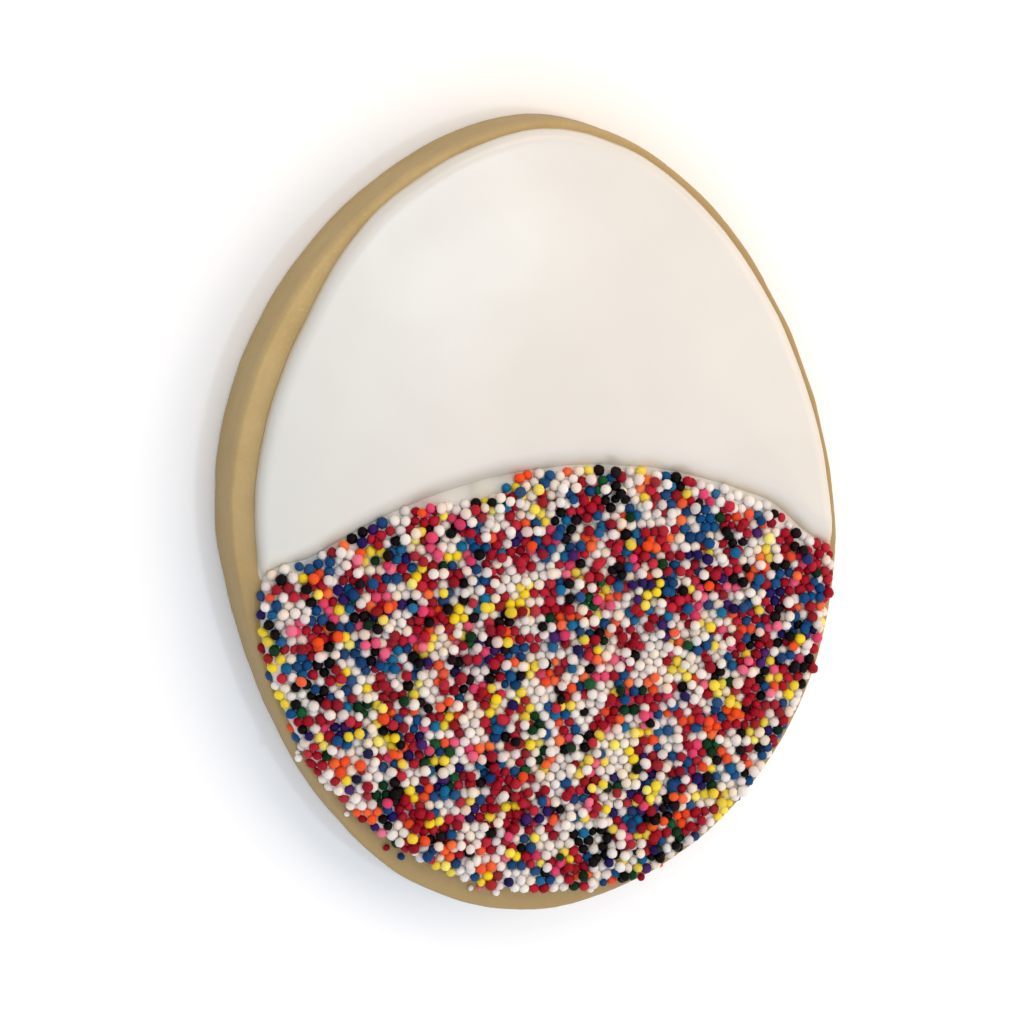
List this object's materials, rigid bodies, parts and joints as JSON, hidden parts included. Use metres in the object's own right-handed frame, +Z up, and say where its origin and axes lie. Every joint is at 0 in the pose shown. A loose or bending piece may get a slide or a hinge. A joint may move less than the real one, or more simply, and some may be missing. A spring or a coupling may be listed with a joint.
{
  "type": "iced cookie",
  "caption": "Egg-shaped sugar cookie lying flat, with smooth white icing round its narrow end and icing covered in tiny round sprinkles round its broad end.",
  "frame": {"origin": "the point on the resting surface under the middle of the biscuit's bounding box", "axes": "+Y along the length, towards the narrow end with the smooth icing; +X across the width; +Z up, out of the iced side"},
  "size_m": [0.0758, 0.0958, 0.0111],
  "materials": {
    "baked_biscuit": "matte",
    "white_icing": "satin",
    "sprinkled_icing": "satin",
    "sprinkle_white": "satin",
    "sprinkle_red": "satin",
    "sprinkle_blue": "satin",
    "sprinkle_navy": "satin",
    "sprinkle_yellow": "satin",
    "sprinkle_orange": "satin",
    "sprinkle_pink": "satin",
    "sprinkle_green": "satin",
    "sprinkle_black": "satin"
  },
  "bodies": {
    "root": {"biscuit": "baked_biscuit", "smooth_icing": "white_icing", "sprinkled_icing": "sprinkled_icing"}
  },
  "joints": []
}
